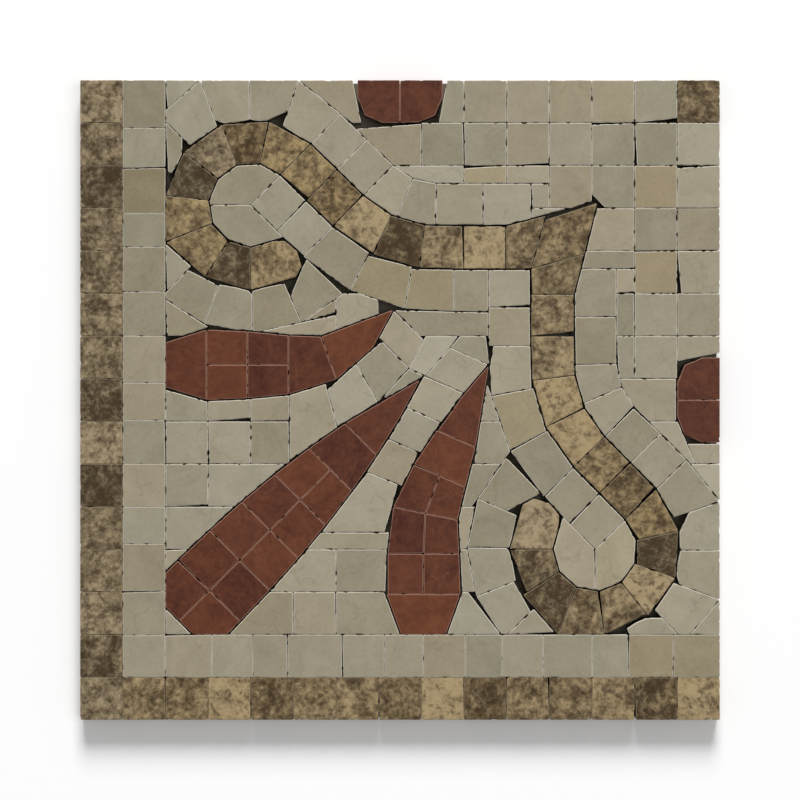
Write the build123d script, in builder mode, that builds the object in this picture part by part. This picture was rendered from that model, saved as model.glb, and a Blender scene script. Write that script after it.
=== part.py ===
"""Marble mosaic corner tile of a scrolled border, lying flat with its face up.

Hand-cut marble chips are glued on a sheet of glass-fibre mesh.  A brown frame runs along two sides,
with a cream border inside it.  Two brown scrolls, mirrored about the diagonal, end in volutes and
meet in a point, three red petals fan out between them, and a red bud stands at each open side.
Cream chips follow both sides of the scrolls in courses, and rows of them fill the rest.

Places on the face are measured from the outer corner of the frame: x to the right, y up the tile.
"""
import os
import random
from math import cos, hypot, radians, sin

from build123d import *

# Driving dimensions, in millimetres and degrees
tile_side = 300.0
chip = 20.0                  # a square chip with its joint, and the width of every cream course
chip_thickness = 9.4
joint = 0.12                 # between chips that sit tight
figure_gap = 0.5             # the ground stands this far off the scrolls, petals and buds
loose_opening = 2.2          # widest wedge beside a chip nipped to fill the ground
close_opening = 0.7          # and beside one that was cut with more care
opening_power = 3            # the higher, the fewer wedges come near the widest
mesh_thickness = 0.6         # the mesh with its film of glue
mesh_margin = 1.0            # the mesh is trimmed back from the edges of the tile

scroll_width = 20.0
volute_radius = 30.0         # to the middle of the band
volute_chips = 8
tail_angle = -58.0           # where the band starts, seen from the centre of the volute
tail_nose = 7.0              # length of the rounded end of the tail chip
nose_cuts = 4                # cuts that round it
seat_reach = 5.0             # a corner this close to the border or the open side is cut to sit on it
run_slope = 44.5             # the band leaves the volute downhill
bend_radius = 60.0
bend_chips = 4
shank_drop = 20.0            # the level shank lies this far below the centre of the volute
tip_chip = 12.0              # the last chip of a shank, before the corner where the shanks meet
tip_shoulder = 7.0
tip_flare = 5.0
tip_length = 31.0            # the point beyond that corner
course_lead = 14.0           # the outer course starts this many degrees before the tail
course_trim = 1.5            # and is cut back this much where it meets the open side

petal_taper = 2.5            # power of the curve by which a petal narrows to its tip
petal_split = 26.0           # a petal wider than this has two chips side by side
petal_root_width = 21.0      # of the side petals, at the border
middle_petal_width = 41.0
middle_petal_root_gap = 6.5  # from the corner of the border to the blunt end
middle_petal_tip_gap = 51.5  # from the tip to the heel where the shanks meet, along the border
left_petal_width = 33.5
left_petal_drop = 55.0       # the root, below the level of the shank
left_petal_tip_gap = 64.5
left_petal_bend_radius = 55.0
left_petal_turn = 45.0
left_petal_blade_length = 14.0
lower_petal_width = 35.0
lower_petal_drop = 60.5      # as for the left one, with the tile mirrored about its diagonal
lower_petal_tip_gap = 45.0
lower_petal_bend_radius = 45.0
lower_petal_turn = 24.0
lower_petal_blade_length = 66.0

bud_width = 40.0
bud_depth = 20.0
bud_corner = 12.0            # rounded in two cuts

border_wander = 3.0          # how far the border's joints stray from the module
least_share = 0.4            # a smaller share of a square chip joins the next chip of its row
smallest_chip = 34.0         # a cut piece of less, in square millimetres, is left out
slimmest_chip = 2.0          # and so is one that is narrower on average
further_chip_cost = 60.0     # what a further chip weighs against gaps where a cell has to be cut
notch_weight = 4.0           # how much worse a gap is at the edge of the tile
shortest_side = 0.25         # a shorter step in an outline is left uncut
flat_corner = 0.02           # sine of the turn under which a corner counts as straight
hand = random.Random(11)     # the unevenness of hand work

# Places that follow: a volute touches the border and stands one course in from the open side,
# and the buds stand on the middle lines of the tile
border_edge = 2 * chip
half_band = scroll_width / 2
volute_height = tile_side + course_trim - chip - half_band - volute_radius
volute_centre = (border_edge + volute_radius + half_band, volute_height)
shank_height = volute_height - shank_drop
heel = shank_height - half_band
bud_place = tile_side / 2
layout = Plane((-tile_side / 2, -tile_side / 2, mesh_thickness))


def chips_along(length):
    """How many chips fill a length of course."""
    return max(1, round(length / chip))


def upright(left, bottom, right, top):
    """The outline of an upright cell."""
    return [(left, bottom), (right, bottom), (right, top), (left, top)]


def mirrored(outlines):
    """The same outlines on the other side of the diagonal."""
    return [[(y, x) for x, y in outline] for outline in outlines]


def face_of(outline):
    """A flat face with straight sides."""
    with BuildSketch() as cell:
        with BuildLine():
            Polyline(*outline, close=True)
        make_face()
    return cell.sketch


def within(region, outline):
    """The faces of a region that lie inside an outline, from left to right."""
    shared = face_of(outline).intersect(region) or ShapeList()
    return shared.filter_by(GeomType.PLANE).sort_by(lambda face: face.center().X)


def corners_of(face):
    """The corners of a cell, anticlockwise, leaving out steps too short to cut."""
    corners = [edge @ 0 for edge in face.outer_wire().order_edges()]
    if face.normal_at().Z < 0:
        corners.reverse()
    return [a for a, b in zip(corners, corners[1:] + corners[:1]) if (b - a).length > shortest_side]


def is_waste(face):
    """Whether a piece is too small or too slim for a chip."""
    return face.area < smallest_chip or face.area < slimmest_chip * face.bounding_box().diagonal


def cutting_cost(pieces):
    """How bad a cut is: the gaps that its waste leaves, weighed by their width, and each further chip."""
    waste = [piece for piece in pieces if is_waste(piece)]
    cost = further_chip_cost * (len(pieces) - len(waste))
    for piece in waste:
        box = piece.bounding_box()
        at_edge = max(box.max.X, box.max.Y) > tile_side - joint
        cost += piece.area ** 2 / box.diagonal * (notch_weight if at_edge else 1)
    return cost


def straight_sided(face):
    """Outlines of the convex chips that a cell is cut into, wherever its outline turns in."""
    if is_waste(face):
        return []
    corners = corners_of(face)
    cuts = []
    for before, corner, after in zip(corners[-1:] + corners, corners, corners[1:] + corners[:1]):
        sides = [(corner - before).normalized(), (after - corner).normalized()]
        if sides[0].cross(sides[1]).Z < -flat_corner:
            for along in sides + [(sides[0] + sides[1]).normalized()]:
                pieces = face.split(Plane(corner, z_dir=along.cross(Vector(0, 0, 1))), keep=Keep.ALL)
                if len(pieces) > 1:
                    cuts.append(pieces)
    if not cuts:
        return [[(corner.X, corner.Y) for corner in corners]]
    pieces = min(cuts, key=cutting_cost).sort_by(lambda piece: piece.center().X)
    return [outline for piece in pieces for outline in straight_sided(piece)]


def lay(outlines, field):
    """Fits cells into the free field, and gives their chips and what is left of the field."""
    cells = []
    for outline in outlines:
        cells += [face for face in within(field, outline) if face.area > smallest_chip]
    chips = [chip_outline for cell in cells for chip_outline in straight_sided(cell)]
    return chips, field - cells


def beside(path, share, distance):
    """The point to the left of a path, a share of its length along it."""
    place = path @ share
    heading = path % share
    return (place.X - heading.Y * distance, place.Y + heading.X * distance)


def strip(path, near, far, count):
    """Outlines of the chips along a path, from one distance beside it to another."""
    outlines = []
    for step in range(count):
        start = step / count
        end = (step + 1) / count
        outlines.append([beside(path, start, near), beside(path, end, near),
                         beside(path, end, far), beside(path, start, far)])
    return outlines


# The brown frame on two sides, and the chip of the inner frame at the far corner
field = face_of(upright(0, 0, tile_side, tile_side))
module = tile_side / chips_along(tile_side)
frame_joints = [step * module for step in range(chips_along(tile_side) + 1)]
column = [upright(0, low, chip, high) for low, high in zip(frame_joints, frame_joints[1:])]
left_frame, field = lay(column, field)
bottom_frame, field = lay(mirrored(column), field)
inner_corner, field = lay([upright(tile_side - chip, tile_side - chip, tile_side, tile_side)], field)


def border_course(start):
    """Outlines of the cream course inside the frame, its joints less even than the frame's."""
    joints = [place + hand.uniform(-border_wander, border_wander) for place in frame_joints
              if start + border_wander < place < tile_side - border_wander]
    joints = [start] + joints + [tile_side]
    return [upright(chip, low, border_edge, high) for low, high in zip(joints, joints[1:])]


left_border, field = lay(border_course(chip), field)
bottom_border, field = lay(mirrored(border_course(border_edge)), field)

# Middle lines of the upper scroll: round the volute, down the run, round the bend and along the shank
volute_sweep = 270 + run_slope + tail_angle
with BuildLine() as volute:
    volute_arc = CenterArc(volute_centre, volute_radius, tail_angle, -volute_sweep)
with BuildLine() as volute_course:
    CenterArc(volute_centre, volute_radius, tail_angle + course_lead, -volute_sweep - course_lead)
bend_start = shank_height + bend_radius * (1 - cos(radians(run_slope)))
run_length = ((volute_arc @ 1).Y - bend_start) / sin(radians(run_slope))
with BuildLine() as run:
    run_down = Line(volute_arc @ 1, volute_arc @ 1 + (volute_arc % 1) * run_length)
with BuildLine() as bend:
    bend_arc = JernArc(run_down @ 1, run_down % 1, bend_radius, run_slope)
    Line(bend_arc @ 1, (heel - tip_chip, shank_height))
with BuildLine() as bend_course:
    JernArc(run_down @ 1, run_down % 1, bend_radius, run_slope)
    Line(bend_arc @ 1, (heel, shank_height))
shoulder = (heel + tip_shoulder, shank_height + half_band + tip_flare)
point = (heel + tip_length, heel + tip_length)


def seated(outline):
    """An outline with the corners that come close to the border moved onto it."""
    return [(border_edge if x < border_edge + seat_reach else x, y) for x, y in outline]


def scroll():
    """Outlines of a scroll's chips: fanned round the volute, then along the run, bend and shank."""
    outlines = [seated(outline) for outline in strip(volute.wire(), -half_band, half_band, volute_chips)]
    heading = volute_arc % 0
    for cut in range(1, nose_cuts):
        angle = radians(180 * cut / nose_cuts)
        x, y = beside(volute.wire(), 0, half_band * cos(angle))
        length = tail_nose * sin(angle)
        outlines[0].append((x - heading.X * length, y - heading.Y * length))
    outlines += strip(run.wire(), -half_band, half_band, chips_along(run_length))
    outlines += strip(bend.wire(), -half_band, half_band, bend_chips)
    last_joint = heel - tip_chip
    top = shank_height + half_band
    return outlines + [[(last_joint, heel), (heel, heel), shoulder, (last_joint, top)]]


upper_scroll, field = lay(scroll(), field)
right_scroll, field = lay(mirrored(scroll()), field)
scroll_tip, field = lay([[(heel, heel), shoulder[::-1], point, shoulder]], field)


def petal(path, root_width, width):
    """Outlines of a petal's chips from its root, with one long chip at the tip."""
    count = chips_along(path.length)
    shares = [step / count for step in range(count - 1)]
    halves = [root_width / 2] + [width / 2 * (1 - share ** petal_taper) for share in shares[1:]]
    outlines = []
    for start, end, half, end_half in zip(shares, shares[1:], halves, halves[1:]):
        sides = [-1, 0, 1] if min(half, end_half) > petal_split / 2 else [-1, 1]
        for right, left in zip(sides, sides[1:]):
            outlines.append([beside(path, start, right * half), beside(path, end, right * end_half),
                             beside(path, end, left * end_half), beside(path, start, left * half)])
    middle = (shares[-1] + 1) / 2
    bulge = width / 2 * (1 - middle ** petal_taper)
    outlines.append([beside(path, shares[-1], -halves[-1]), beside(path, middle, -bulge),
                     beside(path, 1, 0), beside(path, shares[-1], halves[-1])])
    return outlines


def side_petal_line(drop, tip_gap, curve_radius, turn, blade_length):
    """The middle line of a side petal: straight out of the border, round a bend, straight to the tip."""
    root = shank_height - drop
    stem_end = heel - tip_gap - curve_radius * sin(radians(turn)) - blade_length * cos(radians(turn))
    with BuildLine() as line:
        stem = Line((border_edge, root), (stem_end, root))
        petal_bend = JernArc(stem @ 1, stem % 1, curve_radius, turn)
        Line(petal_bend @ 1, petal_bend @ 1 + (petal_bend % 1) * blade_length)
    return line.wire()


blunt_end = border_edge + middle_petal_root_gap
middle_tip = heel - middle_petal_tip_gap
with BuildLine() as middle_line:
    Line((blunt_end, blunt_end), (middle_tip, middle_tip))
left_line = side_petal_line(left_petal_drop, left_petal_tip_gap, left_petal_bend_radius,
                            left_petal_turn, left_petal_blade_length)
lower_line = side_petal_line(lower_petal_drop, lower_petal_tip_gap, lower_petal_bend_radius,
                             lower_petal_turn, lower_petal_blade_length)
middle_petal, field = lay(petal(middle_line.wire(), middle_petal_width, middle_petal_width), field)
left_petal, field = lay(petal(left_line, petal_root_width, left_petal_width), field)
lower_petal, field = lay(mirrored(petal(lower_line, petal_root_width, lower_petal_width)), field)


def bud():
    """Outlines of the two chips of a half bud at the top side of the tile."""
    low = tile_side - bud_depth
    end = bud_place + bud_width / 2
    cut = bud_corner * (1 - cos(radians(45)))
    right = [(bud_place, low), (end - bud_corner, low), (end - cut, low + cut), (end, low + bud_corner),
             (end, tile_side), (bud_place, tile_side)]
    left = [(2 * bud_place - x, y) for x, y in right]
    return [left, right]


top_bud, field = lay(bud(), field)
right_bud, field = lay(mirrored(bud()), field)
scrolls = upper_scroll + right_scroll + scroll_tip
petals = left_petal + middle_petal + lower_petal
buds = top_bud + right_bud
for outline in scrolls + petals + buds:
    field = field - offset(face_of(outline), figure_gap, kind=Kind.INTERSECTION)

# Cream courses, one chip wide, on both sides of the scrolls
course_near = half_band
course_far = half_band + chip
course_middle = half_band + chip / 2
bend_gain = radians(run_slope) * course_middle


def inner_course():
    """Outlines of the course under a scroll's run, bend and shank."""
    outlines = strip(run.wire(), -course_far, -course_near, chips_along(run_length))
    count = chips_along(bend_course.wire().length + bend_gain)
    return outlines + strip(bend_course.wire(), -course_far, -course_near, count)


def outer_course():
    """Outlines of the course round the outside of a scroll, from inside its tail to its point."""
    ring = radians(volute_sweep + course_lead) * (volute_radius + course_middle)
    outlines = strip(volute_course.wire(), course_near, course_far, chips_along(ring))
    outlines[0][0] = beside(volute_course.wire(), 0, 0)
    reached = tile_side - seat_reach
    outlines = [[(x, tile_side if y > reached else y) for x, y in outline] for outline in outlines]
    outlines += strip(run.wire(), course_near, course_far, chips_along(run_length))
    count = chips_along(bend_course.wire().length - bend_gain)
    return outlines + strip(bend_course.wire(), course_near, course_far, count)


right_inner_course, field = lay(mirrored(inner_course()), field)
upper_inner_course, field = lay(inner_course(), field)
right_outer_course, field = lay(mirrored(outer_course()), field)
upper_outer_course, field = lay(outer_course(), field)

# The eye of each volute, in two halves beside the inner course
x, y = volute_centre
eye = [upright(x - volute_radius, y, x + volute_radius, y + volute_radius),
       upright(x - volute_radius, y - volute_radius, x + volute_radius, y)]
upper_eye, field = lay(eye, field)
right_eye, field = lay(mirrored(eye), field)


def free_area(outline):
    """How much of the field is still free inside an outline."""
    return sum(face.area for face in within(field, outline))


def petal_course(path, width, turn, is_mirrored):
    """Outlines of the ground that follows the blade of a side petal, on the side of the middle petal.

    It is one chip wide, or reaches over to the middle petal where no further chip fits between.
    """
    stem_share = path.order_edges()[0].length / path.length
    count = chips_along(path.length * (1 - stem_share) + radians(turn) * (width + chip) / 2)
    shares = [stem_share + (1 - stem_share) * step / count for step in range(count + 1)]
    outlines = []
    for start, end in zip(shares, shares[1:]):
        cells = []
        for reach in (chip, 2 * chip):
            far = [-width / 2 * (1 - share ** petal_taper) - reach for share in (start, end)]
            cells.append([beside(path, start, 0), beside(path, start, far[0]),
                          beside(path, end, far[1]), beside(path, end, 0)])
        narrow, wide = mirrored(cells) if is_mirrored else cells
        room = free_area(wide) - free_area(narrow)
        outlines.append(narrow if room > least_share * chip ** 2 else wide)
    return outlines


left_ground, field = lay(petal_course(left_line, left_petal_width, left_petal_turn, False), field)
lower_ground, field = lay(petal_course(lower_line, lower_petal_width, lower_petal_turn, True), field)


def ground_row(low):
    """Chips of one level row of the ground, cut at the modules where that leaves no sliver."""
    chips = []
    for stretch in within(field, upright(0, low, tile_side, low + module)):
        box = stretch.bounding_box()
        cuts = [box.min.X]
        for line in frame_joints:
            if box.min.X + joint < line < box.max.X - joint:
                pieces = [within(stretch, upright(cuts[-1], 0, line, tile_side)),
                          within(stretch, upright(line, 0, box.max.X, tile_side))]
                areas = [sum(face.area for face in faces) for faces in pieces]
                if min(areas) > least_share * module ** 2:
                    cuts.append(line)
        for start, end in zip(cuts, cuts[1:] + [box.max.X]):
            for face in within(stretch, upright(start, 0, end, tile_side)):
                chips += straight_sided(face)
    return chips


ground = [outline for low in frame_joints[2:-1] for outline in ground_row(low)]
palmette_ground = left_ground + lower_ground
palmette_ground += [outline for outline in ground if max(outline[0]) < shank_height]
outer_ground = [outline for outline in ground if max(outline[0]) >= shank_height]


def on_tile_edge(start, end):
    """Whether a side lies on an edge of the tile, where every chip is flush."""
    return any(abs(start[axis] - edge) < joint and abs(end[axis] - edge) < joint
               for axis in (0, 1) for edge in (0, tile_side))


def nip(outline, start, end, opening):
    """What is left of a chip after a cut half a joint inside a side, askew by the opening at its end."""
    length = hypot(end[0] - start[0], end[1] - start[1])
    along = ((end[0] - start[0]) / length, (end[1] - start[1]) / length)

    def depth(corner):
        across = (corner[0] - start[0], corner[1] - start[1])
        distance = across[0] * along[0] + across[1] * along[1]
        cut = joint / 2 + opening * distance / max(length, chip)
        return along[0] * across[1] - along[1] * across[0] - cut

    left = []
    for a, b in zip(outline, outline[1:] + outline[:1]):
        if depth(a) >= 0:
            left.append(a)
        if depth(a) * depth(b) < 0:
            share = depth(a) / (depth(a) - depth(b))
            left.append((a[0] + share * (b[0] - a[0]), a[1] + share * (b[1] - a[1])))
    return left


def hand_cut(outline, widest_opening):
    """The outline of a cell's chip: half a joint inside it all round, with one side cut askew."""
    askew = hand.randrange(len(outline))
    opening = widest_opening * hand.random() ** opening_power
    chip_outline = outline
    for side, (start, end) in enumerate(zip(outline, outline[1:] + outline[:1])):
        skewed = side == askew and not on_tile_edge(start, end)
        chip_outline = nip(chip_outline, start, end, opening if skewed else 0)
    return [a for a, b in zip(chip_outline, chip_outline[1:] + chip_outline[:1])
            if hypot(b[0] - a[0], b[1] - a[1]) > shortest_side]


os.makedirs("parts", exist_ok=True)

# The mesh sheet that all chips are glued on
with BuildPart() as mesh_backing:
    with BuildSketch():
        Rectangle(tile_side - 2 * mesh_margin, tile_side - 2 * mesh_margin)
    extrude(amount=mesh_thickness)
mesh_backing.part.label = "mesh_backing"
export_step(mesh_backing.part, "parts/mesh_backing.step")

# The chips of each course, as separate solids that lie side by side on the mesh
courses = {
    "left_frame_chips": (left_frame, close_opening),
    "bottom_frame_chips": (bottom_frame, close_opening),
    "inner_corner_chip": (inner_corner, close_opening),
    "left_border_chips": (left_border, close_opening),
    "bottom_border_chips": (bottom_border, close_opening),
    "upper_scroll_chips": (upper_scroll, loose_opening),
    "right_scroll_chips": (right_scroll, loose_opening),
    "scroll_tip_chip": (scroll_tip, loose_opening),
    "upper_eye_chips": (upper_eye, loose_opening),
    "right_eye_chips": (right_eye, loose_opening),
    "upper_inner_course_chips": (upper_inner_course, loose_opening),
    "right_inner_course_chips": (right_inner_course, loose_opening),
    "upper_outer_course_chips": (upper_outer_course, loose_opening),
    "right_outer_course_chips": (right_outer_course, loose_opening),
    "left_petal_chips": (left_petal, close_opening),
    "middle_petal_chips": (middle_petal, close_opening),
    "lower_petal_chips": (lower_petal, close_opening),
    "top_bud_chips": (top_bud, close_opening),
    "right_bud_chips": (right_bud, close_opening),
    "palmette_ground_chips": (palmette_ground, loose_opening),
    "outer_ground_chips": (outer_ground, loose_opening),
}
for name, (outlines, widest_opening) in courses.items():
    faces = [face_of(hand_cut(outline, widest_opening)) for outline in outlines]
    with BuildPart() as chips:
        with BuildSketch(layout):
            add(faces)
        extrude(amount=chip_thickness)
    chips.part.label = name
    export_step(chips.part, f"parts/{name}.step")
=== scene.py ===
"""The looks of a marble mosaic corner tile: cream, brown and red marble chips, cut by hand, on a mesh."""
from math import cos, pi, radians

import bmesh
import bpy
import numpy as np
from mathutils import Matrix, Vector


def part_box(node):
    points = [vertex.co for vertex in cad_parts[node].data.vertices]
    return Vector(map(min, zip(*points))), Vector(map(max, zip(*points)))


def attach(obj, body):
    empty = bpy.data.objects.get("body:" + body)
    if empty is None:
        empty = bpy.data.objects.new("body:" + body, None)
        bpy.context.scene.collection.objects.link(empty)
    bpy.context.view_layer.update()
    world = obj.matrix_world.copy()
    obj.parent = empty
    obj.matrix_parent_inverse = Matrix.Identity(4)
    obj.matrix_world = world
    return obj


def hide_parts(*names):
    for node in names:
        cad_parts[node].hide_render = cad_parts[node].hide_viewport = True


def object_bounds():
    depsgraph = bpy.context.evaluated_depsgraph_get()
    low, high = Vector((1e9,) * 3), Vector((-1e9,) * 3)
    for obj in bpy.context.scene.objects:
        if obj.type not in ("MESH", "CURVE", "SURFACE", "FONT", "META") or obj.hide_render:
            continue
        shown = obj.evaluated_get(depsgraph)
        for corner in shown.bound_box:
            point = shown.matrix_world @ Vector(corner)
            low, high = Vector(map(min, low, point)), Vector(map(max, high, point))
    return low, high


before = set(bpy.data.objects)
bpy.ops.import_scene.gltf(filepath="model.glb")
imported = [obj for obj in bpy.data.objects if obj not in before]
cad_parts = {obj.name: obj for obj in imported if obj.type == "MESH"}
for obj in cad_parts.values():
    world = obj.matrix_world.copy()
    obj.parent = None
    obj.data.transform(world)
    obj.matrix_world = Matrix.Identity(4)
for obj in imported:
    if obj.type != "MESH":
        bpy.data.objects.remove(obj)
cad_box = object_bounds()

# The mesh sheet: a net of flat glass-fibre yarns, woven over and under at a pitch of 5 mm.
# The chips are set face up on it, and it holds them together until the tile is bedded.
mesh_low, mesh_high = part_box("mesh_backing")
mesh_side = mesh_high.x - mesh_low.x
mesh_top = mesh_high.z
yarn_pitch = 0.005
yarn_width = 0.0009
yarn_thickness = 0.0002
yarn_height = 0.00024        # middle of the weave above the floor
yarn_wave = 0.00011          # how far a yarn rises and dips at the crossings
yarns = 2 * int(mesh_side / (2 * yarn_pitch))


def deselect_all():
    """Leaves nothing selected before a new piece is made."""
    if bpy.context.mode != "OBJECT":
        bpy.ops.object.mode_set(mode="OBJECT")
    bpy.ops.object.select_all(action="DESELECT")


def apply_modifier(piece, kind, **settings):
    """Gives a piece one modifier and applies it."""
    modifier = piece.modifiers.new(kind.lower(), kind)
    for setting, value in settings.items():
        setattr(modifier, setting, value)
    bpy.context.view_layer.objects.active = piece
    bpy.ops.object.modifier_apply(modifier=modifier.name)


def woven_yarn(name, place, dips_first):
    """One flat yarn along X that passes over and under the yarns it crosses."""
    deselect_all()
    bpy.ops.mesh.primitive_cube_add(size=1, location=(0, place, yarn_height))
    yarn = bpy.context.object
    yarn.name = name
    yarn.scale = (mesh_side, yarn_width, yarn_thickness)
    bpy.ops.object.transform_apply(location=True, rotation=True, scale=True)
    bpy.ops.object.mode_set(mode="EDIT")
    bpy.ops.mesh.select_all(action="DESELECT")
    shape = bmesh.from_edit_mesh(yarn.data)
    for edge in shape.edges:
        edge.select_set(abs(edge.verts[0].co.x - edge.verts[1].co.x) > yarn_pitch)
    shape.select_flush(False)
    bpy.ops.mesh.subdivide(number_cuts=2 * yarns - 1)
    shape = bmesh.from_edit_mesh(yarn.data)
    for vertex in shape.verts:
        wave = cos(pi * vertex.co.x / yarn_pitch) * yarn_wave
        vertex.co.z += -wave if dips_first else wave
    bmesh.update_edit_mesh(yarn.data)
    bpy.ops.object.mode_set(mode="OBJECT")
    return yarn


def yarn_layer(name, dips_first):
    """All yarns that run one way, beside each other, every second one dipping where the others rise."""
    first_place = -yarn_pitch * (yarns - 1) / 2
    pair = [woven_yarn(name, first_place, dips_first),
            woven_yarn(name + "_next", first_place + yarn_pitch, not dips_first)]
    deselect_all()
    for yarn in pair:
        yarn.select_set(True)
    bpy.context.view_layer.objects.active = pair[0]
    bpy.ops.object.join()
    apply_modifier(pair[0], "ARRAY", count=yarns // 2, use_relative_offset=False,
                   use_constant_offset=True, constant_offset_displace=(0, 2 * yarn_pitch, 0))
    return pair[0]


weft = yarn_layer("weft_yarns", False)
warp = yarn_layer("fibre_net", True)
warp.rotation_euler.z = radians(90)
deselect_all()
weft.select_set(True)
warp.select_set(True)
bpy.context.view_layer.objects.active = warp
bpy.ops.object.transform_apply(location=True, rotation=True, scale=True)
bpy.ops.object.join()
fibre_net = warp


def paint(red, green, blue):
    """A colour written as it shows on a screen, from 0 to 255, for a shader socket."""
    shares = [value / 255 for value in (red, green, blue)]
    linear = [share / 12.92 if share < 0.04045 else ((share + 0.055) / 1.055) ** 2.4 for share in shares]
    return linear + [1]


def feed(tree, socket, value):
    """Gives a shader socket a value, or links it to the output that feeds it."""
    if isinstance(value, bpy.types.NodeSocket):
        tree.links.new(value, socket)
    else:
        socket.default_value = value


def add_node(tree, kind, settings=None, **sockets):
    """Adds a shader node; each socket is given a value or the output that feeds it."""
    node = tree.nodes.new(kind)
    for setting, value in (settings or {}).items():
        setattr(node, setting, value)
    for name, value in sockets.items():
        feed(tree, node.inputs[name.replace("_", " ")], value)
    return node


def mix_colours(tree, share, first, second, blend="MIX"):
    """The output of a colour mix; the share and the colours are values or outputs."""
    node = tree.nodes.new("ShaderNodeMix")
    node.data_type = "RGBA"
    node.blend_type = blend
    for place, value in ((0, share), (6, first), (7, second)):
        feed(tree, node.inputs[place], value)
    return node.outputs[2]


def arithmetic(tree, operation, first, second=0.0, clamp=False):
    """The output of a sum on two values or outputs."""
    node = tree.nodes.new("ShaderNodeMath")
    node.operation = operation
    node.use_clamp = clamp
    for place, value in ((0, first), (1, second)):
        feed(tree, node.inputs[place], value)
    return node.outputs[0]


def ramp(tree, value, low, high):
    """A value that goes smoothly from 0 to 1 between two limits."""
    node = add_node(tree, "ShaderNodeMapRange", {"interpolation_type": "SMOOTHSTEP"},
                    Value=value, From_Min=low, From_Max=high)
    return node.outputs["Result"]


def new_material(name):
    """An empty material with its surface shader."""
    material = bpy.data.materials.new(name)
    material.use_nodes = True
    surface = material.node_tree.nodes["Principled BSDF"]
    return material, material.node_tree, surface


glass_fibre, tree, surface = new_material("glass fibre with glue")
place = add_node(tree, "ShaderNodeTexCoord").outputs["Object"]
strands = add_node(tree, "ShaderNodeTexNoise", Vector=place, Scale=1400.0, Detail=3.0)
glue = add_node(tree, "ShaderNodeTexNoise", Vector=place, Scale=60.0, Detail=2.0)
yarn_colour = mix_colours(tree, strands.outputs["Fac"], paint(186, 184, 172), paint(226, 224, 214))
is_glued = ramp(tree, glue.outputs["Fac"], 0.42, 0.62)
glued_colour = mix_colours(tree, is_glued, yarn_colour, paint(168, 160, 140))
tree.links.new(glued_colour, surface.inputs["Base Color"])
strand_bump = add_node(tree, "ShaderNodeBump", Strength=0.6, Distance=0.0002, Height=strands.outputs["Fac"])
tree.links.new(strand_bump.outputs["Normal"], surface.inputs["Normal"])
surface.inputs["Roughness"].default_value = 0.62
fibre_net.data.materials.append(glass_fibre)
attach(fibre_net, "root")
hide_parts("mesh_backing")

# The film of glue that holds the chips on the net: milky and thin, brushed on and set in soft lumps. It
# closes the joints from below. Its top side, seen down the joints, is painted dark as painted shade; its
# underside keeps the milky colour.
film_top = mesh_top - 0.00003
film_thickness = 0.00008
film_margin = 0.0004         # it is squeezed out past the net, nearly to the edges of the tile
film_side = 2 * (cad_box[1].x - film_margin)
film_steps = 90              # squares along a side, to shape the lumps
lump_size = 0.006
lump_depth = 0.00012
deselect_all()
bpy.ops.mesh.primitive_grid_add(x_subdivisions=film_steps, y_subdivisions=film_steps, size=film_side,
                                location=(0, 0, film_top))
glue_film = bpy.context.object
glue_film.name = "glue_film"
bpy.ops.object.transform_apply(location=True, rotation=True, scale=True)
apply_modifier(glue_film, "SOLIDIFY", thickness=film_thickness, offset=-1)
lumps = bpy.data.textures.new("brushed glue", "CLOUDS")
lumps.noise_scale = lump_size
apply_modifier(glue_film, "DISPLACE", texture=lumps, texture_coords="LOCAL", direction="Z",
               strength=-lump_depth, mid_level=0)
# The top side's colours are painted shade, darker than the glue itself, so the joints look dark from above.
for side, thin_glue, thick_glue in (("glue in painted shade", paint(84, 76, 60), paint(132, 123, 103)),
                                    ("milky glue", paint(152, 144, 124), paint(192, 187, 172))):
    set_glue, tree, surface = new_material(side)
    place = add_node(tree, "ShaderNodeTexCoord").outputs["Object"]
    smears = add_node(tree, "ShaderNodeTexNoise", Vector=place, Scale=90.0, Detail=5.0, Distortion=0.6)
    glue_colour = mix_colours(tree, smears.outputs["Fac"], thin_glue, thick_glue)
    tree.links.new(glue_colour, surface.inputs["Base Color"])
    tree.links.new(ramp(tree, smears.outputs["Fac"], 0.9, 0.2), surface.inputs["Roughness"])
    glue_film.data.materials.append(set_glue)
for polygon in glue_film.data.polygons:
    polygon.material_index = 0 if polygon.normal.z > 0 else 1
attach(glue_film, "root")

# The brown frame along two sides, and one chip of the inner frame in the far corner: square chips,
# sawn from slabs of mottled brown marble, honed on the face and left with lightly knocked edges.
# Each chip comes from another place of the block, so its tone and its markings are its own.
# The left frame's listed tones run lower than the bottom frame's, so that side comes out darker.
left_frame_tones = (0.58, 0.44, 0.20, 0.42, 0.40, 0.50, 0.52, 0.16,
                    0.66, 0.18, 0.50, 0.50, 0.60, 0.32, 0.54)
bottom_frame_tones = (0.54, 0.50, 0.80, 0.34, 0.54, 0.56, 0.46,
                      0.94, 0.28, 0.48, 0.40, 0.60, 0.26, 0.86)
far_corner_tone = 0.38
frame_pitch = 20.0           # millimetres from chip to chip along the frame
merge_distance = 0.00001
corner_width = 0.0007        # the flat that is knocked off an upright corner
step_length = 0.0016         # spacing of the points along an edge that shape its unevenness
chip_rows = 3                # rows of points up a side
one_plane = radians(1)       # faces that differ by less are one face
looks_up = 0.9               # a normal with more rise than this is that of a honed face
face_depth = 0.002           # how far below the face a chip's tilt still shows
smooth_angle = radians(32)
cut_size = 0.0035            # size of the unevenness that cutting leaves
spall_size = 0.0022
spall_start = 0.62
spall_end = 0.8


def select_edges(piece, wanted):
    """Selects the edges of a piece in edit mode that fit, and says how many."""
    bpy.ops.mesh.select_mode(type="EDGE")
    bpy.ops.mesh.select_all(action="DESELECT")
    shape = bmesh.from_edit_mesh(piece.data)
    chosen = [edge for edge in shape.edges if wanted(edge)]
    for edge in chosen:
        edge.select_set(True)
    bmesh.update_edit_mesh(piece.data)
    return len(chosen)


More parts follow.
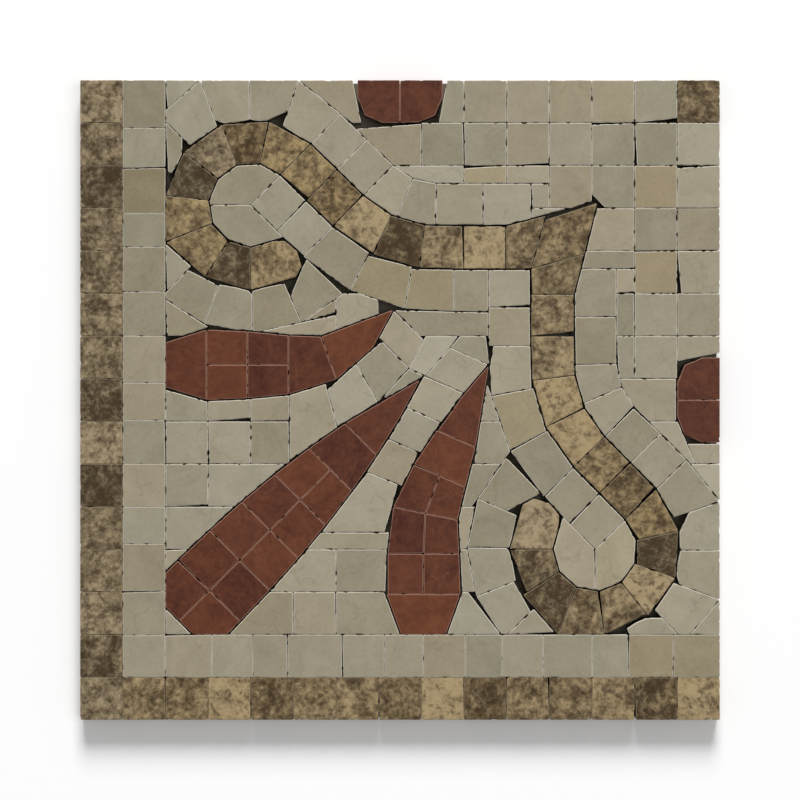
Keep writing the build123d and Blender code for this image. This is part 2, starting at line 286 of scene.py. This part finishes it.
def is_upright(edge):
    """Whether an edge runs up the side of a chip."""
    low, high = [vertex.co for vertex in edge.verts]
    return abs(low.z - high.z) > abs(low.x - high.x) + abs(low.y - high.y)


def is_long_and_level(edge):
    """Whether an edge runs round a chip and is longer than one step."""
    return not is_upright(edge) and edge.calc_length() > step_length


def cut_chips(node, arris):
    """Copies a node's chips, rounds their corners, divides their sides and gives their faces an arris."""
    deselect_all()
    name = node.replace("_chip", "_stone")
    stones = bpy.data.objects.new(name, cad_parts[node].data.copy())
    stones.data.name = name
    stones.data.materials.clear()
    bpy.context.scene.collection.objects.link(stones)
    stones.select_set(True)
    bpy.context.view_layer.objects.active = stones
    bpy.ops.object.mode_set(mode="EDIT")
    bpy.ops.mesh.customdata_custom_splitnormals_clear()
    bpy.ops.mesh.select_all(action="SELECT")
    bpy.ops.mesh.remove_doubles(threshold=merge_distance)
    bpy.ops.mesh.dissolve_limited(angle_limit=one_plane)
    select_edges(stones, is_upright)
    bpy.ops.mesh.bevel(offset_type="WIDTH", offset=corner_width, segments=2, affect="EDGES",
                       clamp_overlap=True)
    select_edges(stones, is_upright)
    bpy.ops.mesh.subdivide(number_cuts=chip_rows - 1)
    while select_edges(stones, is_long_and_level):
        bpy.ops.mesh.subdivide(number_cuts=1)
    bpy.ops.mesh.select_mode(type="FACE")
    bpy.ops.mesh.select_all(action="DESELECT")
    shape = bmesh.from_edit_mesh(stones.data)
    for face in shape.faces:
        face.select_set(face.normal.z > looks_up)
    bmesh.update_edit_mesh(stones.data)
    bpy.ops.mesh.inset(thickness=arris, depth=0, use_individual=True)
    shape = bmesh.from_edit_mesh(stones.data)
    honed = stones.vertex_groups.new(name="honed face")
    kept = [vertex.index for vertex in shape.verts if vertex.select]
    top = max(vertex.co.z for vertex in shape.verts)
    for vertex in shape.verts:
        if not vertex.select and vertex.co.z > top - merge_distance:
            vertex.co.z -= arris / 3
    bmesh.update_edit_mesh(stones.data)
    bpy.ops.object.mode_set(mode="OBJECT")
    honed.add(kept, 1.0, "REPLACE")
    return stones


def knock_edges(stones, unevenness, spall):
    """Wears the sides and edges of the chips back from where they were cut, by uneven amounts."""
    wear = bpy.data.textures.new("uneven cut", "CLOUDS")
    wear.noise_scale = cut_size
    apply_modifier(stones, "DISPLACE", texture=wear, texture_coords="LOCAL", strength=-unevenness,
                   mid_level=0.2, vertex_group="honed face", invert_vertex_group=True)
    spalls = bpy.data.textures.new("spalled edge", "CLOUDS")
    spalls.noise_scale = spall_size
    spalls.noise_depth = 1
    spalls.use_color_ramp = True
    spalls.color_ramp.elements[0].position = spall_start
    spalls.color_ramp.elements[0].color = (0, 0, 0, 1)
    spalls.color_ramp.elements[1].position = spall_end
    spalls.color_ramp.elements[1].color = (1, 1, 1, 1)
    apply_modifier(stones, "DISPLACE", texture=spalls, texture_coords="LOCAL", strength=-spall, mid_level=0,
                   vertex_group="honed face", invert_vertex_group=True)


def chips_of(stones):
    """The chip that each point belongs to, and each chip's middle in millimetres from the outer corner."""
    mesh = stones.data
    points = np.empty(len(mesh.vertices) * 3)
    mesh.vertices.foreach_get("co", points)
    points = points.reshape(-1, 3)
    edges = np.empty(len(mesh.edges) * 2, int)
    mesh.edges.foreach_get("vertices", edges)
    edges = edges.reshape(-1, 2)
    lowest = np.arange(len(points))
    settled = False
    while not settled:
        before = lowest.copy()
        np.minimum.at(lowest, edges[:, 0], before[edges[:, 1]])
        np.minimum.at(lowest, edges[:, 1], before[edges[:, 0]])
        settled = (before == lowest).all()
    chip = np.unique(lowest, return_inverse=True)[1]
    count = chip.max() + 1
    middles = np.array([points[chip == number, :2].mean(0) for number in range(count)])
    return points, chip, (middles - np.array(cad_box[0].xy)) * 1000


def set_chips(stones, tilt, drop, tones, warmths, places=()):
    """Seats each chip a little uneven, and gives it its tone, its warmth and its place in the block.

    Tones and warmths are drawn from a range. Each place is two distances from the outer corner, in
    millimetres, with the tone and the warmth that the chip nearest to it gets instead.
    """
    points, chip, middles = chips_of(stones)
    order = np.lexsort((middles[:, 1].round(), middles[:, 0].round()))
    draw = np.random.default_rng(len(order))
    count = len(order)
    tone = np.empty(count)
    warmth = np.empty(count)
    block = np.empty((count, 3))
    slope = np.empty((count, 2))
    sunk = np.empty(count)
    for number in order:
        tone[number] = draw.uniform(*tones)
        warmth[number] = draw.uniform(*warmths)
        block[number] = draw.uniform(-1, 1, 3)
        slope[number] = draw.uniform(-tilt, tilt, 2)
        sunk[number] = draw.uniform(0, drop)
    for x, y, place_tone, place_warmth in places:
        nearest = np.hypot(middles[:, 0] - x, middles[:, 1] - y).argmin()
        tone[nearest] = place_tone
        warmth[nearest] = place_warmth
    mesh = stones.data
    honed = stones.vertex_groups["honed face"].index
    is_honed = np.array([any(group.group == honed for group in vertex.groups) for vertex in mesh.vertices])
    top = points[:, 2].max()
    across = points[:, :2] - (middles[chip] / 1000 + np.array(cad_box[0].xy))
    lean = (slope[chip] * across).sum(1)
    steepest = np.array([np.abs(lean[chip == number]).max() for number in range(count)])
    lowered = sunk[chip] + lean + steepest[chip]
    points[:, 2] -= np.where(points[:, 2] > top - face_depth, lowered, 0)
    mesh.vertices.foreach_set("co", points.ravel())
    for name, values in (("tone", tone[chip]), ("warmth", warmth[chip]), ("broken", 1.0 - is_honed)):
        mesh.attributes.new(name, "FLOAT", "POINT").data.foreach_set("value", values.astype(np.float32))
    block_place = mesh.attributes.new("block_place", "FLOAT_VECTOR", "POINT")
    block_place.data.foreach_set("vector", block[chip].astype(np.float32).ravel())
    for polygon in mesh.polygons:
        polygon.use_smooth = not is_honed[list(polygon.vertices)].all()
    mesh.update()


def new_group(name, inputs, outputs):
    """An empty shader node group with its sockets, and its two end nodes."""
    group = bpy.data.node_groups.new(name, "ShaderNodeTree")
    for socket, kind, value in inputs:
        new = group.interface.new_socket(socket, in_out="INPUT", socket_type=kind)
        new.default_value = value
    for socket, kind in outputs:
        group.interface.new_socket(socket, in_out="OUTPUT", socket_type=kind)
    return group, group.nodes.new("NodeGroupInput"), group.nodes.new("NodeGroupOutput")


def block_position(tree):
    """Where a point of a chip lay in the block that the chip was cut from."""
    place = add_node(tree, "ShaderNodeTexCoord").outputs["Object"]
    block = add_node(tree, "ShaderNodeAttribute", {"attribute_name": "block_place"}).outputs["Vector"]
    half_turns = add_node(tree, "ShaderNodeSeparateXYZ", Vector=block).outputs["Z"]
    turn = arithmetic(tree, "MULTIPLY", half_turns, pi)
    turned = add_node(tree, "ShaderNodeVectorRotate", {"rotation_type": "Z_AXIS"}, Vector=place, Angle=turn)
    moved = tree.nodes.new("ShaderNodeVectorMath")
    tree.links.new(turned.outputs[0], moved.inputs[0])
    tree.links.new(block, moved.inputs[1])
    return moved.outputs[0]


# Cloudy markings of a marble, at two sizes, drawn out along its bed
mottling, ends_in, ends_out = new_group(
    "mottling",
    [("Coarse", "NodeSocketFloat", 140.0), ("Fine", "NodeSocketFloat", 420.0),
     ("Swirl", "NodeSocketFloat", 0.6), ("Stretch", "NodeSocketFloat", 0.6)],
    [("Coarse", "NodeSocketFloat"), ("Fine", "NodeSocketFloat")])
stretch = add_node(mottling, "ShaderNodeCombineXYZ", X=1.0, Y=ends_in.outputs["Stretch"], Z=1.0)
drawn_out = mottling.nodes.new("ShaderNodeVectorMath")
drawn_out.operation = "MULTIPLY"
mottling.links.new(block_position(mottling), drawn_out.inputs[0])
mottling.links.new(stretch.outputs[0], drawn_out.inputs[1])
position = drawn_out.outputs[0]
coarse = add_node(mottling, "ShaderNodeTexNoise", Vector=position, Scale=ends_in.outputs["Coarse"],
                  Detail=4.0, Roughness=0.6, Distortion=ends_in.outputs["Swirl"])
fine = add_node(mottling, "ShaderNodeTexNoise", Vector=position, Scale=ends_in.outputs["Fine"],
                Detail=6.0, Roughness=0.65, Distortion=ends_in.outputs["Swirl"])
mottling.links.new(coarse.outputs["Fac"], ends_out.inputs["Coarse"])
mottling.links.new(fine.outputs["Fac"], ends_out.inputs["Fine"])

# Thin veins of a marble: healed cracks, broken up so that they come and go
veining, ends_in, ends_out = new_group(
    "veining",
    [("Scale", "NodeSocketFloat", 90.0), ("Width", "NodeSocketFloat", 0.05),
     ("Wander", "NodeSocketFloat", 0.004)],
    [("Vein", "NodeSocketFloat")])
position = block_position(veining)
wander = add_node(veining, "ShaderNodeTexNoise", Vector=position, Scale=160.0, Detail=3.0)
wandered = veining.nodes.new("ShaderNodeVectorMath")
wandered.operation = "MULTIPLY_ADD"
veining.links.new(wander.outputs["Color"], wandered.inputs[0])
veining.links.new(ends_in.outputs["Wander"], wandered.inputs[1])
veining.links.new(position, wandered.inputs[2])
cracks = add_node(veining, "ShaderNodeTexVoronoi", {"feature": "DISTANCE_TO_EDGE"},
                  Vector=wandered.outputs[0], Scale=ends_in.outputs["Scale"])
thin = ramp(veining, cracks.outputs["Distance"], ends_in.outputs["Width"], 0.0)
healed = add_node(veining, "ShaderNodeTexNoise", Vector=position, Scale=70.0, Detail=2.0)
shown = ramp(veining, healed.outputs["Fac"], 0.45, 0.62)
veining.links.new(arithmetic(veining, "MULTIPLY", thin, shown), ends_out.inputs["Vein"])

# What nipping, dust and light do to a chip: a pale colour on sides and edges, partly a fresh break and
# partly painted highlight, and a darkening low in the joints, partly dust and partly painted shade. The
# outer sides of the tile were sawn, so they stay nearer to the colour of the stone and take none of the
# darkening.
outer_side = (0.0004, 0.0014)     # over this distance from its edge the tile goes from outer side to joint
outer_paleness = 0.2
joint_paleness = 0.75
dust_and_shade_depth = (0.0006, 0.0045)     # over this depth below the face the darkening sets in: dust, and painted shade deeper in the joints
dust_and_shade_share = 0.8
honed_roughness = 0.46
break_roughness = 0.3             # what a break adds
honed_grain = 0.06
wear_and_painted_light, ends_in, ends_out = new_group(
    "broken sides and painted light",
    [("Colour", "NodeSocketColor", (0.5, 0.5, 0.5, 1)), ("Break", "NodeSocketColor", (0.6, 0.6, 0.6, 1)),
     ("Dust", "NodeSocketColor", (0.1, 0.08, 0.06, 1)), ("Face", "NodeSocketFloat", 0.01),
     ("Outer", "NodeSocketFloat", 0.15)],
    [("Colour", "NodeSocketColor"), ("Roughness", "NodeSocketFloat"), ("Height", "NodeSocketFloat")])
position = block_position(wear_and_painted_light)
broken = add_node(wear_and_painted_light, "ShaderNodeAttribute", {"attribute_name": "broken"}).outputs["Fac"]
grains = add_node(wear_and_painted_light, "ShaderNodeTexNoise", Vector=position, Scale=1500.0, Detail=4.0, Roughness=0.7)
on_tile = add_node(wear_and_painted_light, "ShaderNodeSeparateXYZ",
                   Vector=add_node(wear_and_painted_light, "ShaderNodeTexCoord").outputs["Object"]).outputs
depth = arithmetic(wear_and_painted_light, "SUBTRACT", ends_in.outputs["Face"], on_tile["Z"])
from_middle = arithmetic(wear_and_painted_light, "MAXIMUM", arithmetic(wear_and_painted_light, "ABSOLUTE", on_tile["X"]),
                         arithmetic(wear_and_painted_light, "ABSOLUTE", on_tile["Y"]))
inset = arithmetic(wear_and_painted_light, "SUBTRACT", ends_in.outputs["Outer"], from_middle)
within_tile = ramp(wear_and_painted_light, inset, *outer_side)
in_joint = arithmetic(wear_and_painted_light, "MULTIPLY", within_tile, dust_and_shade_share)
paleness = add_node(wear_and_painted_light, "ShaderNodeMapRange", Value=within_tile, To_Min=outer_paleness,
                    To_Max=joint_paleness).outputs["Result"]
share = arithmetic(wear_and_painted_light, "MULTIPLY", ramp(wear_and_painted_light, broken, 0.08, 0.65), paleness)
# Fresh break and painted highlight: sides and arrises are mixed towards the pale break colour.
faced = mix_colours(wear_and_painted_light, share, ends_in.outputs["Colour"], ends_in.outputs["Break"])
# Dust and painted shade: inside the joints the colour darkens with depth below the face.
dust_and_shade = arithmetic(wear_and_painted_light, "MULTIPLY", ramp(wear_and_painted_light, depth, *dust_and_shade_depth), in_joint)
wear_and_painted_light.links.new(mix_colours(wear_and_painted_light, dust_and_shade, faced, ends_in.outputs["Dust"]), ends_out.inputs["Colour"])
roughened = arithmetic(wear_and_painted_light, "MULTIPLY", broken, break_roughness)
roughness = arithmetic(wear_and_painted_light, "ADD", roughened, honed_roughness)
wear_and_painted_light.links.new(roughness, ends_out.inputs["Roughness"])
grain = arithmetic(wear_and_painted_light, "ADD", broken, honed_grain)
rough_break = arithmetic(wear_and_painted_light, "MULTIPLY", grains.outputs["Fac"], grain)
wear_and_painted_light.links.new(rough_break, ends_out.inputs["Height"])


def place_group(tree, group, **sockets):
    """Puts a shader node group into a material, with its own values."""
    node = tree.nodes.new("ShaderNodeGroup")
    node.node_tree = group
    for name, value in sockets.items():
        feed(tree, node.inputs[name], value)
    return node.outputs


def finish_stone(tree, surface, colour, break_and_highlight, dust_and_shade_colour):
    """Takes a marble's colour through the wear of its sides to its surface shader, with a pale break that
    is partly painted highlight and a darkening low in the joints that is partly painted shade.
    """
    worn = place_group(tree, wear_and_painted_light, Colour=colour, Break=break_and_highlight, Dust=dust_and_shade_colour,
                       Face=cad_box[1].z, Outer=cad_box[1].x)
    tree.links.new(worn["Colour"], surface.inputs["Base Color"])
    tree.links.new(worn["Roughness"], surface.inputs["Roughness"])
    surface.inputs["Specular IOR Level"].default_value = 0.25
    bump = add_node(tree, "ShaderNodeBump", Strength=0.5, Distance=0.0003, Height=worn["Height"])
    tree.links.new(bump.outputs["Normal"], surface.inputs["Normal"])


def chip_value(tree, name):
    """One of the values that each chip has of its own."""
    return add_node(tree, "ShaderNodeAttribute", {"attribute_name": name}).outputs["Fac"]


def clouding(tree, marks, strength):
    """How far the markings of a marble lift or lower its tone from place to place."""
    spread = arithmetic(tree, "SUBTRACT", arithmetic(tree, "ADD", marks["Coarse"], marks["Fine"]), 1.0)
    return arithmetic(tree, "MULTIPLY", spread, strength)


def figured(tree, mask, strength, under, colour):
    """A marble with veins or specks of another colour laid over it, as strongly as asked."""
    return mix_colours(tree, arithmetic(tree, "MULTIPLY", mask, strength), under, colour)


# Dark brown for dust low in the joints, which also serves as painted shade there.
joint_dust_and_shade = paint(52, 43, 32)
brown_marble, tree, surface = new_material("brown marble")
marks = place_group(tree, mottling, Coarse=150.0, Fine=480.0, Swirl=0.25, Stretch=0.85)
blotched = clouding(tree, marks, 1.8)
tone = ramp(tree, arithmetic(tree, "ADD", chip_value(tree, "tone"), blotched), -0.2, 1.2)
brown = mix_colours(tree, arithmetic(tree, "POWER", tone, 1.4), paint(64, 50, 31), paint(170, 155, 128))
golden = mix_colours(tree, chip_value(tree, "warmth"), brown, paint(255, 240, 206), "MULTIPLY")
veins = place_group(tree, veining, Scale=85.0, Width=0.06, Wander=0.014)
veined = figured(tree, veins["Vein"], 0.22, golden, paint(166, 150, 120))
specks = place_group(tree, mottling, Coarse=260.0, Fine=900.0, Swirl=0.3, Stretch=0.9)
speckled = figured(tree, ramp(tree, specks["Coarse"], 0.55, 0.64), 0.6, veined, paint(62, 48, 30))
# The pale break colour is partly a fresh break and partly painted highlight on the edges.
finish_stone(tree, surface, speckled, paint(146, 132, 106), joint_dust_and_shade)


def lay_chips(node, slot, material, arris, unevenness, spall, tilt, drop, tones, warmths, places=()):
    """Makes the stones that stand for one node's chips, and seats them on the tile."""
    stones = cut_chips(node, arris)
    knock_edges(stones, unevenness, spall)
    bpy.ops.object.shade_smooth_by_angle(angle=smooth_angle)
    set_chips(stones, tilt, drop, tones, warmths, places)
    stones.data.materials.append(material)
    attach(stones, "root")
    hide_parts(node)


sawn = {"arris": 0.00032, "unevenness": 0.0001, "spall": 0.0003, "tilt": 0.004, "drop": 0.0001}
half_pitch = frame_pitch / 2
tile_side = (cad_box[1].x - cad_box[0].x) * 1000
left_places = [(half_pitch, tile_side - half_pitch - step * frame_pitch, tone, 0.35)
               for step, tone in enumerate(left_frame_tones)]
bottom_places = [(half_pitch + (step + 1) * frame_pitch, half_pitch, tone, 0.7)
                 for step, tone in enumerate(bottom_frame_tones)]
far_places = [(tile_side - half_pitch, tile_side - half_pitch, far_corner_tone, 0.6)]
for node, places in (("left_frame_chips", left_places), ("bottom_frame_chips", bottom_places),
                     ("inner_corner_chip", far_places)):
    lay_chips(node, "brown_marble", brown_marble, tones=(0.3, 0.5), warmths=(0.2, 0.6),
              places=places, **sawn)

# The cream border inside the frame: chips of one pale marble, sawn in strips and snapped to length,
# so their joints stray a little. A few are tan, as the block turns warmer at its bed.
border_tans = {
    "left_border_chips": [(30, 250, 0.05, 0.8), (30, 290, 0.2, 0.4)],
    "bottom_border_chips": [(273, 30, 0.4, 0.8), (290, 30, 0.35, 0.7)],
}
cream_marble, tree, surface = new_material("cream marble")
marks = place_group(tree, mottling, Coarse=80.0, Fine=640.0, Swirl=0.5, Stretch=0.7)
clouded = clouding(tree, marks, 0.8)
tone = arithmetic(tree, "ADD", chip_value(tree, "tone"), clouded, clamp=True)
cream = mix_colours(tree, tone, paint(132, 126, 106), paint(172, 165, 146))
bed = add_node(tree, "ShaderNodeAttribute", {"attribute_name": "block_place"}).outputs["Vector"]
rosy = ramp(tree, add_node(tree, "ShaderNodeSeparateXYZ", Vector=bed).outputs["X"], 0.0, 1.0)
flushed = mix_colours(tree, rosy, cream, paint(255, 250, 245), "MULTIPLY")
tan = mix_colours(tree, chip_value(tree, "warmth"), flushed, paint(255, 245, 226), "MULTIPLY")
speckled = figured(tree, ramp(tree, marks["Fine"], 0.57, 0.72), 0.45, tan, paint(118, 108, 86))
veins = place_group(tree, veining, Scale=60.0, Width=0.03, Wander=0.008)
veined = figured(tree, veins["Vein"], 0.3, speckled, paint(120, 108, 84))
# The pale break colour is partly a fresh break and partly painted highlight on the edges.
finish_stone(tree, surface, veined, paint(220, 214, 199), joint_dust_and_shade)
for node, places in border_tans.items():
    lay_chips(node, "cream_marble", cream_marble, tones=(0.25, 0.6), warmths=(0.0, 0.25),
              places=places, **sawn)

# The two brown scrolls and the chip at their point: chips of the frame's marble, nipped by hand
# to fan round the volutes and follow the bends, light and dark as they came to hand.
nipped = {"arris": 0.00044, "unevenness": 0.0003, "spall": 0.0006, "tilt": 0.008, "drop": 0.0002}
upper_scroll_places = [
    (93, 213, 0.62, 0.7), (71, 212, 0.22, 0.4), (56, 216, 0.55, 0.8), (49, 232, 0.6, 0.8),
    (51, 253, 0.18, 0.2), (61, 266, 0.55, 0.3), (77, 271, 0.36, 0.8), (95, 267, 0.62, 0.9),
    (107, 254, 0.58, 0.9), (120, 242, 0.46, 0.9), (133, 230, 0.86, 0.6), (151, 222, 0.18, 0.6),
    (169, 220, 0.60, 0.6), (188, 220, 0.88, 0.6), (204, 222, 0.4, 0.6)]
right_scroll_places = [
    (222, 204, 0.44, 0.6), (220, 189, 0.56, 0.6), (220, 169, 0.62, 0.6), (221, 150, 0.9, 0.7),
    (230, 134, 0.9, 0.7), (243, 119, 0.5, 0.8), (254, 107, 0.34, 0.8), (266, 95, 0.58, 0.9),
    (270, 79, 0.12, 0.4), (266, 62, 0.9, 0.6), (253, 52, 0.5, 0.6), (234, 50, 0.46, 0.6),
    (223, 53, 0.2, 0.5), (210, 65, 0.8, 0.6), (211, 81, 0.4, 0.5), (211, 95, 0.82, 0.4)]
tip_places = [(226, 226, 0.46, 0.7)]
for node, places in (("upper_scroll_chips", upper_scroll_places),
                     ("right_scroll_chips", right_scroll_places), ("scroll_tip_chip", tip_places)):
    lay_chips(node, "brown_marble", brown_marble, tones=(0.3, 0.6), warmths=(0.4, 0.8),
              places=places, **nipped)

# The three red petals and the two half buds: chips of a deep red marble with a few pale veins,
# cut closer than the rest, the long chips at the petal tips ground to a point.
petal_oranges = {
    "left_petal_chips": [(126, 177, 0.75, 0.9), (70, 160, 0.6, 0.6)],
    "middle_petal_chips": [(112, 112, 0.65, 0.6), (85, 85, 0.6, 0.5)],
    "lower_petal_chips": [(168, 50, 0.7, 0.8), (175, 131, 0.7, 0.6)],
    "top_bud_chips": [],
    "right_bud_chips": [],
}
cut_close = {"arris": 0.00044, "unevenness": 0.00012, "spall": 0.0004, "tilt": 0.006, "drop": 0.0001}
red_marble, tree, surface = new_material("red marble")
marks = place_group(tree, mottling, Coarse=110.0, Fine=420.0, Swirl=0.7, Stretch=0.7)
clouded = clouding(tree, marks, 1.2)
tone = arithmetic(tree, "ADD", chip_value(tree, "tone"), clouded, clamp=True)
red = mix_colours(tree, tone, paint(68, 31, 22), paint(114, 66, 44))
orange = mix_colours(tree, chip_value(tree, "warmth"), red, paint(255, 250, 226), "MULTIPLY")
veins = place_group(tree, veining, Scale=45.0, Width=0.014, Wander=0.008)
veined = figured(tree, veins["Vein"], 0.15, orange, paint(150, 116, 98))
# The pale break colour is partly a fresh break and partly painted highlight on the edges.
finish_stone(tree, surface, veined, paint(168, 128, 110), joint_dust_and_shade)
for node, places in petal_oranges.items():
    lay_chips(node, "red_marble", red_marble, tones=(0.25, 0.6), warmths=(0.0, 0.6),
              places=places, **cut_close)

# The cream ground: courses that follow both sides of the scrolls, the eyes of the volutes, and level
# rows that fill the rest. The chips are nipped to fit, so the joints open into wedges here and there.
ground_tans = {
    "upper_inner_course_chips": [(144, 207, 0.35, 1.0), (160, 202, 0.4, 0.9)],
    "right_inner_course_chips": [(212, 134, 0.45, 1.0)],
    "outer_ground_chips": [(192, 257, 0.75, 1.0), (271, 251, 0.5, 0.8), (271, 212, 0.5, 0.8),
                           (286, 102, 0.9, 0.1)],
    "palmette_ground_chips": [(161, 182, 0.95, 0.0)],
    "right_eye_chips": [(235, 80, 0.8, 0.3), (247, 80, 0.75, 0.6)],
}
for node in ("upper_inner_course_chips", "right_inner_course_chips", "upper_outer_course_chips",
             "right_outer_course_chips", "upper_eye_chips", "right_eye_chips", "palmette_ground_chips",
             "outer_ground_chips"):
    lay_chips(node, "cream_marble", cream_marble, tones=(0.25, 0.75), warmths=(0.0, 0.35),
              places=ground_tans.get(node, ()), **nipped)

# A plain white floor that keeps the soft shadow of the tile
floor_side = 6.0
floor_glow = 0.03            # lifts the floor to white where the camera sees it
deselect_all()
bpy.ops.mesh.primitive_plane_add(size=floor_side, location=(0, 0, 0))
floor = bpy.context.object
floor.name = "floor"
white_floor, tree, surface = new_material("white floor")
surface.inputs["Base Color"].default_value = paint(254, 254, 254)
surface.inputs["Emission Color"].default_value = (1, 1, 1, 1)
seen = add_node(tree, "ShaderNodeLightPath").outputs["Is Camera Ray"]
tree.links.new(arithmetic(tree, "MULTIPLY", seen, floor_glow), surface.inputs["Emission Strength"])
surface.inputs["Roughness"].default_value = 1.0
surface.inputs["Specular IOR Level"].default_value = 0.0
floor.data.materials.append(white_floor)

# Soft studio light: a low lamp beyond the top of the tile, a high one to its right, and an even surround
lamps = {
    "far softbox": {"place": Vector((0.6, 12.6, 7.0)), "size": 6.0, "power": 2480.0},
    "right softbox": {"place": Vector((6.8, 0.0, 13.2)), "size": 8.0, "power": 307.0},
}
for name, settings in lamps.items():
    lamp_data = bpy.data.lights.new(name, "AREA")
    lamp_data.shape = "DISK"
    lamp_data.size = settings["size"]
    lamp_data.energy = settings["power"]
    lamp = bpy.data.objects.new(name, lamp_data)
    lamp.location = settings["place"]
    lamp.rotation_euler = settings["place"].to_track_quat("Z", "Y").to_euler()
    bpy.context.scene.collection.objects.link(lamp)
surround_level = 0.30
world = bpy.data.worlds.new("white surround")
world.use_nodes = True
bpy.context.scene.world = world
tree = world.node_tree
seen = add_node(tree, "ShaderNodeLightPath").outputs["Is Camera Ray"]
level = add_node(tree, "ShaderNodeMapRange", Value=seen, To_Min=surround_level, To_Max=1.0)
background = tree.nodes["Background"]
background.inputs["Color"].default_value = (1, 1, 1, 1)
tree.links.new(level.outputs["Result"], background.inputs["Strength"])

# The camera looks straight down on the tile from far enough that its sides stay square
camera_data = bpy.data.cameras.new("camera")
camera_data.lens = 110
camera_data.sensor_width = 36
view_width = 0.375
camera = bpy.data.objects.new("camera", camera_data)
camera.location = (0, 0, cad_box[1].z + view_width * camera_data.lens / camera_data.sensor_width)
bpy.context.scene.collection.objects.link(camera)
bpy.context.scene.camera = camera
bpy.context.scene.view_settings.view_transform = "Standard"
